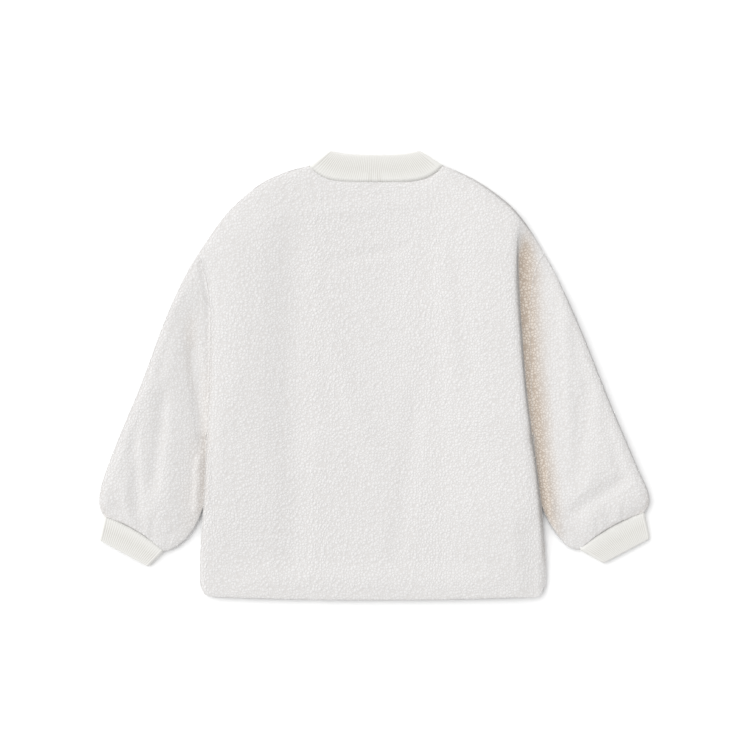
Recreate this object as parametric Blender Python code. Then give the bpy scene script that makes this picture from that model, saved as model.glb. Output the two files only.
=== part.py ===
"""A sherpa jacket with a rib-knit collar and cuffs, laid flat on its fronts with its back up.

Sizes are in millimetres until a mesh is made, and meshes are in metres. X runs across the
jacket, +Y towards the collar and +Z up. The origin is the middle of the footprint, on the
surface that the jacket lies on. The wearer's left is at -X, because the back faces up.
"""

import math

import bmesh
import bpy
import numpy as np

METRES = 0.001

# Cloth
SHERPA = 5.0  # knit ground and curled pile together
RIB_CLOTH = 3.0  # rib knit, folded double
SEAM_GAP = 0.3
ARMHOLE_GAP = 0.5
EDGE_RADIUS = 12.0  # how far the sherpa rounds over at a folded edge
LEAST_HOLLOW = 0.4  # between an upper wall's inner face and its edge height
RIM_BLEND = 1.5
LINING_REACHES = (0.6, 0.92)  # shares of the thickness at which the inner face is set in
LINING_TURNS = 8
SHARP_ANGLE = 50.0  # degrees between two faces that meet in a crease

# Heights of the upper cloth above the surface
BACK_LEVEL = 11.6
LOWEST_TOP = 10.9
SLEEVE_LEVEL = 16.4
SLEEVE_END = 11.2
SLEEVE_END_ROUND = 17.0
SLEEVE_RAMP = 60.0

# Body
HEM_Y = -338.5
HEM_BOW = 5.5
HEM_CORNER = 17.0
FRONT_HEM_RISE = 3.0
HEM_NOSE = 2.2
SIDE_FOOT_Y = -321.0
UNDERARM_Y = -92.0
SHOULDER_POINT_Y = 184.1

# Neck and collar. The band's lower edge is sewn to the neck, its upper edge is free.
NECK_HALF = 101.3
NECK_MIDDLE = 2.2
NECK_Y = 316.8
COLLAR_TOP_HALF = 70.0
COLLAR_TOP_Y = 338.3
# How far the neck's sewn and free edges dip at the middle, and how squarely they bend
BACK_NECK = {"sewn": (25.5, 5.0), "free": (7.0, 3.0)}
FRONT_NECK = {"sewn": (95.0, 2.6), "free": (72.0, 3.0)}
COLLAR_HEIGHT = 10.2
COLLAR_ENDS_APART = 1.0
NECK_SEAM_GAP = 0.7
NECK_SEAM_HEIGHT = 11.0
NECK_ROUND = 14.0  # how far the back's pile rounds down to the neck seam
NECK_GAP_FADE = 20.0
FRONT_NECK_GAP = 1.4

# Rib knit
RIB_PITCH = 3.5
RIB_DEPTH = 0.8
RIB_EDGE = 4.7
RIB_NOSE = 1.2
RIB_EDGE_TURNS = (0.0, 40.0, 68.0)  # degrees round a folded rib edge
RIB_PLAIN_STEPS = 8  # across the plain underside

# Cuffs
CUFF_HEIGHT = 10.0
CUFF_END_HEIGHT = 8.4
CUFF_INSET = 1.8
CUFF_SEAM_GAP = 0.5
CUFF_SEAM_BOW = 5.5

# The lapped fronts and their press studs
LAP = 12.0
LAP_OUTER = 2.35
LAP_INNER = 2.65
STUDS = 5
STUD_RADIUS = 6.0
STUD_THICK = 0.9
STUD_SUNK = 0.2
STUD_FIRST_Y = 196.0
STUD_LAST_Y = -300.0
STUD_SIDES = 20

# Outlines: x, y, height of the folded edge
SHOULDER_LEFT = (
    (-99.1, 316.8, 6.7),
    (-114.8, 313.6, 6.9),
    (-138.8, 305.0, 7.2),
    (-167.3, 291.4, 7.5),
    (-191.3, 273.8, 7.8),
    (-216.8, 250.6, 8.0),
    (-234.8, 227.6, 8.0),
    (-251.3, 203.6, 8.0),
    (-264.5, SHOULDER_POINT_Y, 8.0),
)
SHOULDER_RIGHT = (
    (103.5, 316.8, 6.7),
    (123.8, 308.6, 6.9),
    (152.3, 295.1, 7.2),
    (182.3, 275.8, 7.4),
    (212.3, 248.0, 7.4),
    (231.8, 223.6, 7.2),
    (247.0, 199.1, 6.9),
    (255.2, SHOULDER_POINT_Y, 6.7),
)
SLEEVE_OUTER_LEFT = (
    (-264.5, SHOULDER_POINT_Y, 8.0),
    (-271.5, 176.0, 8.1),
    (-282.0, 155.6, 8.3),
    (-294.5, 131.6, 8.5),
    (-315.5, 83.6, 8.7),
    (-333.5, 35.6, 8.8),
    (-351.0, -12.5, 8.8),
    (-362.5, -40.0, 8.8),
    (-381.8, -85.5, 8.8),
    (-401.3, -134.5, 8.8),
    (-409.8, -159.0, 8.6),
    (-414.6, -180.5, 8.2),
    (-415.0, -192.5, 7.6),
    (-412.3, -202.5, 6.9),
    (-408.4, -210.0, 6.3),
)
SLEEVE_OUTER_RIGHT = (
    (255.2, SHOULDER_POINT_Y, 6.7),
    (261.8, 174.4, 7.2),
    (273.3, 152.6, 7.8),
    (294.3, 107.6, 8.4),
    (317.8, 53.6, 8.7),
    (338.3, 1.1, 8.8),
    (357.8, -48.5, 8.8),
    (378.8, -96.5, 8.8),
    (398.8, -144.5, 8.8),
    (409.4, -166.5, 8.6),
    (414.6, -181.5, 8.2),
    (414.5, -190.5, 7.6),
    (412.0, -198.4, 6.9),
    (407.8, -204.0, 6.3),
)
SLEEVE_INNER_LEFT = (
    (-253.1, UNDERARM_Y, 6.4),
    (-255.4, -130.0, 6.3),
    (-256.9, -165.0, 6.3),
    (-258.1, -192.0, 6.3),
    (-261.4, -210.0, 6.3),
    (-268.4, -227.0, 6.3),
    (-279.5, -243.0, 6.3),
    (-292.5, -255.0, 6.3),
    (-304.0, -261.8, 6.3),
    (-314.5, -264.8, 6.3),
)
SLEEVE_INNER_RIGHT = (
    (239.3, UNDERARM_Y, 6.4),
    (243.1, -125.0, 6.3),
    (248.3, -165.0, 6.3),
    (252.2, -196.0, 6.3),
    (256.2, -211.0, 6.3),
    (263.8, -226.0, 6.3),
    (275.5, -242.0, 6.3),
    (287.3, -255.0, 6.3),
    (297.0, -261.2, 6.3),
    (305.6, -262.2, 6.3),
)
SIDE_LEFT = (
    (-252.6, UNDERARM_Y, 6.4),
    (-254.3, -130.0, 8.0),
    (-256.5, -180.0, 8.2),
    (-259.8, -231.5, 7.8),
    (-262.6, -276.5, 7.0),
    (-262.8, -306.0, 6.6),
    (-261.0, SIDE_FOOT_Y, 6.4),
)
SIDE_RIGHT = (
    (238.8, UNDERARM_Y, 6.4),
    (242.4, -125.0, 8.6),
    (247.6, -165.0, 9.0),
    (252.4, -206.0, 8.8),
    (256.2, -250.0, 8.0),
    (258.2, -290.0, 7.0),
    (258.2, -308.0, 6.6),
    (256.6, SIDE_FOOT_Y, 6.4),
)
ARMHOLE_LEFT = (
    (-264.5, SHOULDER_POINT_Y),
    (-258.0, 162.0),
    (-251.2, 140.0),
    (-247.6, 112.0),
    (-246.6, 70.0),
    (-247.6, 20.0),
    (-249.6, -35.0),
    (-252.6, UNDERARM_Y),
)
ARMHOLE_RIGHT = (
    (255.2, SHOULDER_POINT_Y),
    (245.6, 170.0),
    (238.6, 150.0),
    (235.2, 125.0),
    (233.4, 90.0),
    (233.2, 45.0),
    (234.6, -10.0),
    (238.8, UNDERARM_Y),
)

# The fold where the back drops to the armhole seam:
# y, x of the fold, how far it rounds over, how much of the drop there is, height of the seam
DROP_LEFT = (
    (240.0, -250.0, 36.0, 0.0, 13.6),
    (196.0, -255.0, 40.0, 0.5, 13.4),
    (150.0, -250.5, 40.0, 1.0, 13.0),
    (90.0, -244.5, 36.0, 1.0, 12.6),
    (30.0, -244.6, 30.0, 1.0, 12.0),
    (-30.0, -247.4, 20.0, 1.0, 11.4),
    (-92.0, -251.6, 12.0, 1.0, 11.2),
    (-122.0, -254.0, 12.0, 0.0, 11.2),
)
DROP_RIGHT = (
    (232.0, 219.4, 12.0, 0.0, 11.4),
    (210.0, 217.4, 10.0, 0.9, 11.4),
    (184.0, 216.0, 9.0, 1.0, 11.4),
    (150.0, 215.6, 9.0, 1.0, 11.4),
    (80.0, 219.4, 9.0, 1.0, 11.2),
    (0.0, 226.0, 9.0, 1.0, 11.2),
    (-50.0, 231.4, 9.0, 1.0, 11.2),
    (-92.0, 236.6, 11.0, 1.0, 11.2),
    (-122.0, 240.0, 12.0, 0.0, 11.2),
)

# Soft folds: start x, start y, end x, end y, rise, half width
BACK_FOLDS = (
    (204.0, 186.0, 206.0, 116.0, 14.6, 118.0),
    (214.0, -78.0, 224.0, -176.0, 13.6, 112.0),
    (-198.0, 170.0, -199.0, 76.0, 6.0, 62.0),
    (-201.0, -26.0, -208.0, -190.0, 6.0, 60.0),
    (-40.0, 170.0, -34.0, -60.0, 1.2, 60.0),
    (60.0, 120.0, 30.0, -210.0, 0.8, 50.0),
    (-60.0, -150.0, -30.0, -280.0, 0.8, 60.0),
    (-160.0, 246.0, 150.0, 256.0, 1.2, 44.0),
)
SLEEVE_FOLDS_LEFT = (
    (-292.0, 110.0, -345.0, -40.0, 2.6, 26.0),
    (-352.0, -70.0, -374.0, -170.0, 3.6, 30.0),
    (-308.0, -110.0, -312.0, -200.0, 3.4, 26.0),
    (-276.0, 92.0, -262.0, -40.0, -6.8, 13.0),
    (-326.0, -44.0, -330.0, -150.0, -2.6, 12.0),
    (-360.0, -150.0, -350.0, -226.0, -3.4, 9.0),
    (-318.0, -196.0, -330.0, -240.0, -2.6, 8.0),
    (-388.0, -170.0, -384.0, -216.0, -2.4, 8.0),
)
SLEEVE_FOLDS_RIGHT = (
    (276.0, 120.0, 330.0, -20.0, 3.4, 26.0),
    (350.0, -60.0, 382.0, -165.0, 3.4, 30.0),
    (312.0, -90.0, 322.0, -190.0, 3.0, 28.0),
    (320.0, -44.0, 308.0, -150.0, -2.2, 13.0),
    (306.0, -202.0, 366.0, -164.0, -3.8, 14.0),
    (350.0, -206.0, 354.0, -230.0, -2.8, 8.0),
    (386.0, -178.0, 384.0, -214.0, -2.2, 8.0),
    (296.0, -214.0, 316.0, -250.0, -2.4, 8.0),
)

# Free end of each cuff, from its outer edge to its inner edge
CUFF_END_LEFT = ((-414.8, -246.0), (-339.0, -287.0))
CUFF_END_RIGHT = ((414.8, -243.6), (343.0, -282.0))

# Rows of the body, as shares of the way from the hem to the shoulder
ROW_UNDERARM = (UNDERARM_Y - SIDE_FOOT_Y) / (SHOULDER_POINT_Y - SIDE_FOOT_Y)
ROWS_BELOW = (0.0, 0.013, 0.04, 0.09, 0.16, 0.23, 0.3, 0.37, 0.42)
ROWS_ABOVE = (0.007, 0.017, 0.034, 0.075, 0.135, 0.2, 0.265, 0.33, 0.39, 0.44, 0.48)
ROWS_SHOULDER = (0.965, 0.979, 0.989, 0.9955, 1.0)
BODY_ROWS = (
    *ROWS_BELOW,
    ROW_UNDERARM,
    *(ROW_UNDERARM + step for step in ROWS_ABOVE),
    *ROWS_SHOULDER,
)
ARMHOLE_FIRST_ROW = len(ROWS_BELOW)

# Columns of a body panel: their share of the shelf between edge and fold, then their
# distance past the fold in rounding lengths
SHELF = 4.0
CURVE_POINTS = 81
ON_EDGE = 1.0  # this near to an outline, inward is square to it
TOP_ROW_POWER = 3  # how late the rows bend to follow the shoulders and the neck
SHELF_COLUMNS = (0.0, 0.35, 0.7, 1.0)
FOLD_COLUMNS = (0.08, 0.3, 0.65, 1.05, 1.9)
SLEEVE_EDGE_COLUMNS = (0.0, 1.8, 5.4, 11.0, 20.0)
FAN = 19.0
FAN_FADE = 40.0
FAN_FULL = 0.07
FAN_END = 0.5
RIB_RINGS = (0.0, 0.5, 1.0)
SLEEVE_SPREAD = 0.3

# Rings of a sleeve, as shares of the way from the armhole to the cuff
SLEEVE_RINGS = (
    0.0, 0.035, 0.085, 0.15, 0.23, 0.32, 0.41, 0.5, 0.59, 0.67, 0.74, 0.8,
    0.855, 0.9, 0.94, 0.967, 0.986, 1.0,
)  # fmt: skip

COLOURS = {
    "sherpa": (0.84, 0.83, 0.81, 1.0),
    "rib": (0.82, 0.81, 0.77, 1.0),
    "stud": (0.78, 0.77, 0.74, 1.0),
}
ROUGHNESS = {"sherpa": 0.95, "rib": 0.85, "stud": 0.35}


def quarter(share):
    """Height of a quarter round, from 0 at its edge to 1 where it is level."""
    return np.sqrt(1.0 - (1.0 - np.clip(share, 0.0, 1.0)) ** 2)


def ease(share):
    """A smooth step from 0 to 1."""
    share = np.clip(share, 0.0, 1.0)
    return share * share * (3.0 - 2.0 * share)


def mix(a, b, share):
    return a + (b - a) * share


class Curve:
    """A smooth curve through the rows of a table. Its first two columns are x and y.

    cloth is 1 where the cloth lies to the left of the curve's run, and -1 to the right.
    """

    def __init__(self, rows, cloth=1):
        self.rows = np.array(rows, float)
        self.cloth = cloth
        steps = np.hypot(*np.diff(self.rows[:, :2], axis=0).T)
        self.at = np.concatenate(([0.0], np.cumsum(steps))) / steps.sum()
        rise = np.diff(self.rows, axis=0) / np.diff(self.at)[:, None]
        self.slope = np.vstack((rise[:1], (rise[1:] + rise[:-1]) / 2, rise[-1:]))
        self.dense = self.point(np.linspace(0.0, 1.0, CURVE_POINTS))

    def point(self, share):
        """The row at a share of the way along, by cubic steps between the table's rows."""
        share = np.clip(share, 0.0, 1.0)
        i = np.clip(np.searchsorted(self.at, share, side="right") - 1, 0, len(self.at) - 2)
        span = (self.at[i + 1] - self.at[i])[..., None]
        s = (share - self.at[i])[..., None] / span
        leave = (1 + 2 * s) * (1 - s) ** 2 * self.rows[i] + s * (1 - s) ** 2 * span * self.slope[i]
        return leave + s * s * ((3 - 2 * s) * self.rows[i + 1] - (1 - s) * span * self.slope[i + 1])

    def at_y(self, y):
        """x where the curve passes a height y."""
        order = np.argsort(self.dense[:, 1])
        return np.interp(y, self.dense[order, 1], self.dense[order, 0])

    def at_x(self, x):
        """y where the curve passes x."""
        order = np.argsort(self.dense[:, 0])
        return np.interp(x, self.dense[order, 0], self.dense[order, 1])


def nearest(x, y, curves):
    """Distance to the nearest of some curves, the edge height there and the way inward."""
    point = np.stack(np.broadcast_arrays(x, y), axis=-1)
    found = None
    for curve in curves:
        start, along = curve.dense[:-1], np.diff(curve.dense, axis=0)
        way = along[:, :2]
        reach = point[..., None, :] - start[:, :2]
        share = np.clip((reach * way).sum(-1) / (way * way).sum(-1), 0.0, 1.0)
        miss = reach - share[..., None] * way
        far = np.hypot(miss[..., 0], miss[..., 1])
        pick = far.argmin(-1)
        here = np.take_along_axis(far, pick[..., None], -1)[..., 0]
        share = np.take_along_axis(share, pick[..., None], -1)
        miss = np.take_along_axis(miss, pick[..., None, None], -2)[..., 0, :]
        edge = (start[pick] + share * along[pick])[..., -1]
        square = curve.cloth * np.stack((-way[pick][..., 1], way[pick][..., 0]), axis=-1)
        inward = np.where(here[..., None] < ON_EDGE, square, miss)
        inward = inward / np.hypot(inward[..., 0], inward[..., 1])[..., None]
        if found is None:
            found = (here, edge, inward)
        nearer = here < found[0]
        found = (
            np.where(nearer, here, found[0]),
            np.where(nearer, edge, found[1]),
            np.where(nearer[..., None], inward, found[2]),
        )
    return found


def soft_folds(table, x, y):
    """The rise of some soft folds at a point: a bell across each fold, fading past its ends."""
    total = 0.0
    for x0, y0, x1, y1, rise, width in table:
        dx, dy = x1 - x0, y1 - y0
        share = np.clip(((x - x0) * dx + (y - y0) * dy) / (dx * dx + dy * dy), 0.0, 1.0)
        far = np.hypot(x - x0 - share * dx, y - y0 - share * dy)
        total = total + rise * np.exp(-((far / width) ** 2))
    return total


class Side:
    """One side of the jacket: its outlines, armhole, fold, sleeve folds and cuff."""

    def __init__(self, sign, shoulder, outer, inner, side, armhole, drop, folds, cuff):
        self.sign = sign
        self.shoulder = Curve(shoulder, -sign)
        self.outer = Curve(outer, -sign)
        self.inner = Curve(inner, sign)
        self.side = Curve(side, -sign)
        self.armhole = Curve(armhole)
        self.drop = np.array(drop, float)[::-1]
        self.folds = folds
        self.cuff = np.array(cuff)

    def drop_at(self, y, column):
        return np.interp(y, self.drop[:, 0], self.drop[:, column])

    def edge_x(self, y):
        """x of the body's edge at a height y: the armhole above the underarm, else the side."""
        return self.armhole.at_y(y) if y > UNDERARM_Y else self.side.at_y(y)

    def foot(self):
        return self.side.rows[-1, 0]


LEFT = Side(
    -1, SHOULDER_LEFT, SLEEVE_OUTER_LEFT, SLEEVE_INNER_LEFT, SIDE_LEFT,
    ARMHOLE_LEFT, DROP_LEFT, SLEEVE_FOLDS_LEFT, CUFF_END_LEFT,
)  # fmt: skip
RIGHT = Side(
    1, SHOULDER_RIGHT, SLEEVE_OUTER_RIGHT, SLEEVE_INNER_RIGHT, SIDE_RIGHT,
    ARMHOLE_RIGHT, DROP_RIGHT, SLEEVE_FOLDS_RIGHT, CUFF_END_RIGHT,
)  # fmt: skip
BODY_EDGES = [curve for side in (LEFT, RIGHT) for curve in (side.shoulder, side.outer, side.side)]


def back_height(x, y):
    """Height of the back's pile, before its edges round over."""
    height = BACK_LEVEL + soft_folds(BACK_FOLDS, x, y)
    for side in (LEFT, RIGHT):
        inside = side.sign * (side.drop_at(y, 1) - x)
        held = quarter(inside / side.drop_at(y, 2))
        held = 1.0 - side.drop_at(y, 3) * (1.0 - held)
        level = side.drop_at(y, 4)
        height = level + (height - level) * held
    below_neck = neck_y(x, 0.0, BACK_NECK) - y
    height = mix(NECK_SEAM_HEIGHT, height, quarter(below_neck / NECK_ROUND))
    return np.maximum(height, LOWEST_TOP)


def sleeve_height(side, x, y):
    """Height of a sleeve's upper pile, before its edges round over."""
    level = side.drop_at(y, 4)
    far = nearest(x, y, (side.armhole, side.inner))[0]
    height = SLEEVE_LEVEL + soft_folds(side.folds, x, y)
    height = level + (height - level) * ease(far / SLEEVE_RAMP)
    end = sleeve_end(side, 0.5)
    outward = end - sleeve_end(side, 0.5, bow=0.0)
    outward = -outward / np.hypot(*outward)
    from_cuff = (end[0] - x) * outward[0] + (end[1] - y) * outward[1]
    height = SLEEVE_END + (height - SLEEVE_END) * quarter(from_cuff / SLEEVE_END_ROUND)
    return np.maximum(height, LOWEST_TOP)


def rounded(x, y, height, edges):
    """Height of an upper wall's outer face, rounded over towards its folded edges."""
    far, edge, _ = nearest(x, y, edges)
    return edge + (height(x, y) - edge) * quarter(far / EDGE_RADIUS)


def lining_height(x, y, height, edges):
    """Height of an upper wall's inner face: the outer face set in by the cloth's thickness."""
    lowest = rounded(x, y, height, edges) - SHERPA
    for reach in LINING_REACHES:
        drop = SHERPA * math.sqrt(1.0 - reach**2)
        for turn in np.linspace(0.0, 2.0 * math.pi, LINING_TURNS, endpoint=False):
            dx = reach * SHERPA * math.cos(turn)
            dy = reach * SHERPA * math.sin(turn)
            lowest = np.minimum(lowest, rounded(x + dx, y + dy, height, edges) - drop)
    return lowest


def set_in(x, y, far, inward):
    """Where a wall's inner point lies: at a folded edge, a cloth's thickness in from it."""
    shift = SHERPA * np.clip(1.0 - far / EDGE_RADIUS, 0.0, 1.0)
    return x + inward[..., 0] * shift, y + inward[..., 1] * shift


def upper_wall(x, y, height, edges, lift=0.0):
    """Outer and inner points of an upper sherpa wall at each x and y."""
    far, edge, inward = nearest(x, y, edges)
    outer = rounded(x, y, height, edges) + lift
    inner_x, inner_y = set_in(x, y, far, inward)
    clear = np.maximum(lining_height(inner_x, inner_y, height, edges) - edge, LEAST_HOLLOW)
    inner = edge + lift + clear * np.clip(far / RIM_BLEND, 0.0, 1.0)
    return np.stack((x, y, outer), -1), np.stack((inner_x, inner_y, inner), -1)


def lower_wall(x, y, edges, lift=0.0, outer_level=0.0, inner_level=SHERPA):
    """Outer and inner points of a lower sherpa wall, which lies on the surface."""
    far, edge, inward = nearest(x, y, edges)
    held = quarter(far / EDGE_RADIUS)
    inner_x, inner_y = set_in(x, y, far, inward)
    outer = mix(edge - lift, outer_level, held)
    inner = mix(edge - lift, inner_level, held)
    return np.stack((x, y, outer), -1), np.stack((inner_x, inner_y, inner), -1)


def neck_y(x, share, neck):
    """y of the collar band at x, on the curve a share of the way up the band."""
    half = mix(NECK_HALF, COLLAR_TOP_HALF, share)
    middle = mix(NECK_MIDDLE, 0.0, share)
    drop, power = (mix(sewn, free, share) for sewn, free in zip(neck["sewn"], neck["free"]))
    out = np.minimum(abs(x - middle) / half, 1.0)
    return mix(NECK_Y, COLLAR_TOP_Y, share) - drop * (1.0 - out**power)


def panel_top_y(x, neck, gap):
    """y of a body panel's upper edge: its shoulder seams and, between them, its neck seam."""
    out = abs(x - NECK_MIDDLE) - NECK_HALF
    if out < 0:
        return neck_y(x, 0.0, neck) - gap
    side = LEFT if x < NECK_MIDDLE else RIGHT
    return side.shoulder.at_x(x) - gap * max(0.0, 1.0 - out / NECK_GAP_FADE)


def hem_y(x, rise):
    """y of a panel's hem where a column starts: a shallow bow with rounded corners."""
    foot = abs((LEFT if x < 0 else RIGHT).foot())
    corner = min(max(0.0, (abs(x) - foot + HEM_CORNER) / HEM_CORNER), 1.0) ** 2
    bow = HEM_Y + HEM_NOSE + rise + HEM_BOW * (x / foot) ** 2
    return mix(bow, SIDE_FOOT_Y, corner)


def column_x(share, column):
    """x of a column of a body panel, a share of the way up its side."""
    name, amount = column
    if name == "middle":
        return amount
    y = mix(SIDE_FOOT_Y, SHOULDER_POINT_Y, share)
    side = LEFT if name.startswith("left") else RIGHT
    edge = side.edge_x(y)
    fold = side.sign * min(side.sign * side.drop_at(y, 1), side.sign * edge - SHELF)
    if name.endswith("shelf"):
        return mix(edge, fold, amount)
    return fold - side.sign * amount * side.drop_at(y, 2)


def panel_plan(columns, neck, gap, rise):
    """x and y of a body panel's points, row by row from the hem up."""
    x = np.array([[column_x(share, column) for column in columns] for share in BODY_ROWS])
    low = np.array([hem_y(a, rise) for a in x[0]])
    high = np.array([panel_top_y(a, neck, gap) for a in x[-1]])
    share = np.array(BODY_ROWS)[:, None]
    return x, mix(low, SHOULDER_POINT_Y, share) + (high - SHOULDER_POINT_Y) * share**TOP_ROW_POWER


LEFT_EDGE = [("left shelf", a) for a in SHELF_COLUMNS] + [("left fold", a) for a in FOLD_COLUMNS]
RIGHT_EDGE = [("right fold", a) for a in FOLD_COLUMNS[::-1]]
RIGHT_EDGE += [("right shelf", a) for a in SHELF_COLUMNS[::-1]]
NECK_LEFT_X = NECK_MIDDLE - NECK_HALF
NECK_RIGHT_X = NECK_MIDDLE + NECK_HALF
BACK_MIDDLE = [
    ("middle", x)
    for x in (
        -166.0, -132.0, NECK_LEFT_X, -94.5, -88.5, -81.5, -72.0, -58.0, -38.0, -13.0,
        17.0, 42.0, 62.0, 76.0, 86.0, 93.0, 99.0, NECK_RIGHT_X, 134.0, 164.0,
    )
]  # fmt: skip
NECK_STEP = 2 * (NECK_HALF - RIB_EDGE) / RIB_PLAIN_STEPS
FRONT_LEFT_MIDDLE = [
    ("middle", x)
    for x in (
        -164.0, -130.0, NECK_LEFT_X, *(NECK_MIDDLE - k * NECK_STEP for k in (4, 3, 2, 1)),
        -LAP - 2 * SEAM_GAP, -LAP - SEAM_GAP, LAP - SEAM_GAP,
    )
]  # fmt: skip
FRONT_RIGHT_MIDDLE = [
    ("middle", x)
    for x in (
        -LAP, LAP, LAP + SEAM_GAP, *(NECK_MIDDLE + k * NECK_STEP for k in (1, 2, 3, 4)),
        NECK_RIGHT_X, 132.0, 166.0,
    )
]  # fmt: skip


def make_material(name):
    material = bpy.data.materials.new(name)
    material.use_nodes = True
    shader = material.node_tree.nodes["Principled BSDF"]
    shader.inputs["Base Color"].default_value = COLOURS[name]
    shader.inputs["Roughness"].default_value = ROUGHNESS[name]
    material.diffuse_color = COLOURS[name]
    return material


def add_object(name, mesh, material):
    """A named object from a bmesh, with its faces outward and its round parts smooth."""
    bmesh.ops.recalc_face_normals(mesh, faces=mesh.faces)
    data = bpy.data.meshes.new(name)
    mesh.to_mesh(data)
    mesh.free()
    data.shade_smooth()
    data.set_sharp_from_angle(angle=math.radians(SHARP_ANGLE))
    data.materials.append(material)
    thing = bpy.data.objects.new(name, data)
    bpy.context.scene.collection.objects.link(thing)
    return thing


def nose_points(outer, inner, neighbour_outer, neighbour_inner, reach):
    """Points halfway through a wall's edge, pushed out so that the edge is round."""
    points = []
    for o, i, no, ni in zip(outer, inner, neighbour_outer, neighbour_inner):
        middle = (np.array(o) + np.array(i)) / 2
        away = middle - (np.array(no) + np.array(ni)) / 2
        away[2] = 0.0
        points.append(middle + away / np.linalg.norm(away) * reach)
    return points


def fill(mesh, a, b, c, d):
    """Fill four points with two triangles that meet on the shorter diagonal."""
    if (a.co - c.co).length < (b.co - d.co).length:
        mesh.faces.new((a, b, c))
        mesh.faces.new((a, c, d))
    else:
        mesh.faces.new((a, b, d))
        mesh.faces.new((b, c, d))


def wall(name, outer, inner, material, closed=False, first_nose=0.0, last_nose=0.0):
    """A cloth wall between an outer and an inner sheet of points, closed all round its rim."""
    mesh = bmesh.new()

    def loop(points):
        return [mesh.verts.new(METRES * np.array(p, float)) for p in points]

    outside = [loop(row) for row in outer]
    inside = [loop(row) for row in inner]
    count = len(outside[0])
    spans = [(c, (c + 1) % count) for c in range(count if closed else count - 1)]
    for r in range(len(outside) - 1):
        for a, b in spans:
            fill(mesh, outside[r][a], outside[r][b], outside[r + 1][b], outside[r + 1][a])
            fill(mesh, inside[r][b], inside[r][a], inside[r + 1][a], inside[r + 1][b])
        if not closed:
            fill(mesh, outside[r][0], outside[r + 1][0], inside[r + 1][0], inside[r][0])
            fill(mesh, outside[r + 1][-1], outside[r][-1], inside[r][-1], inside[r + 1][-1])
    for end, beside, reach in ((0, 1, first_nose), (-1, -2, last_nose)):
        rims = [outside[end], inside[end]]
        if reach:
            rims.insert(1, loop(nose_points(outer[end], inner[end], outer[beside], inner[beside], reach)))
            if not closed:
                mesh.faces.new((rims[0][0], rims[1][0], rims[2][0]))
                mesh.faces.new((rims[2][-1], rims[1][-1], rims[0][-1]))
        for upper, lower in zip(rims, rims[1:]):
            for a, b in spans:
                fill(mesh, upper[a], lower[a], lower[b], upper[b])
    return add_object(name, mesh, material)


def make_back(material):
    columns = LEFT_EDGE + BACK_MIDDLE + RIGHT_EDGE
    x, y = panel_plan(columns, BACK_NECK, NECK_SEAM_GAP, 0.0)
    sheets = upper_wall(x, y, back_height, BODY_EDGES, SEAM_GAP / 2)
    return wall("back", *sheets, material, first_nose=HEM_NOSE)


def make_fronts(material):
    """The two fronts. The right one laps under the left, next to the surface."""
    half_gap = SEAM_GAP / 2
    x, y = panel_plan(LEFT_EDGE + FRONT_LEFT_MIDDLE, FRONT_NECK, FRONT_NECK_GAP, FRONT_HEM_RISE)
    raised = np.where(x > -LAP - 1.5 * SEAM_GAP, LAP_INNER, 0.0)
    wall("front_left", *lower_wall(x, y, BODY_EDGES, half_gap, outer_level=raised), material)
    x, y = panel_plan(FRONT_RIGHT_MIDDLE + RIGHT_EDGE, FRONT_NECK, FRONT_NECK_GAP, FRONT_HEM_RISE)
    pressed = np.where(x < LAP + 0.5 * SEAM_GAP, LAP_OUTER, SHERPA)
    return wall("front_right", *lower_wall(x, y, BODY_EDGES, half_gap, inner_level=pressed), material)


def sleeve_end(side, across, bow=CUFF_SEAM_BOW):
    """Plan point of the sleeve's end, which bows up the sleeve between its two edges."""
    outer = side.outer.point(1.0)[:2]
    inner = side.inner.point(1.0)[:2]
    way = (inner - outer) / np.hypot(*(inner - outer))
    up = side.sign * np.array((-way[1], way[0])) * -1.0
    return mix(outer, inner, across) + up * bow * 4.0 * across * (1.0 - across)


def fan_out(side, across, share):
    """How far the first rings stand off from the armhole, so that they turn round the underarm."""
    first, last = side.armhole.rows[0], side.armhole.rows[-1]
    length = float(np.hypot(*(last - first)))
    down_edge = float(np.hypot(*(side.inner.point(share) - side.inner.point(0.0))[:2]))
    near_underarm = 1.0 - math.exp(-(1.0 - across) * length / (down_edge + 2.0))
    near_shoulder = 1.0 - math.exp(-across * length / FAN_FADE)
    fade = min(1.0, share / FAN_FULL) * (1.0 - ease(share / FAN_END))
    return side.sign * FAN * near_underarm * near_shoulder * fade


def sleeve_plan(side, across, share):
    """Plan point of a sleeve: across runs from its outer to its inner edge."""
    outer = side.outer.point(share)[:2]
    inner = side.inner.point(share)[:2]
    armhole = side.armhole.point(across)[:2]
    ends = mix(armhole, sleeve_end(side, across), share)
    first = mix(side.armhole.point(0.0)[:2], side.armhole.point(1.0)[:2], across)
    last = mix(side.outer.point(1.0)[:2], side.inner.point(1.0)[:2], across)
    fan = np.array((fan_out(side, across, share), 0.0))
    return mix(outer, inner, across) + ends - mix(first, last, share) + fan


def sleeve_across(side, share, at_armhole):
    """Where a ring's columns lie: as the body's rows at the armhole, further on as edges ask."""
    outer = side.outer.point(share)[:2]
    width = float(np.hypot(*(side.inner.point(share)[:2] - outer)))
    edge = np.array(SLEEVE_EDGE_COLUMNS) / width
    middle = np.linspace(edge[-1], 1.0 - edge[-1], len(at_armhole) - 2 * len(edge) + 2)[1:-1]
    return mix(at_armhole, np.concatenate((edge, middle, 1.0 - edge[::-1])), ease(share / SLEEVE_SPREAD))


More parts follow.
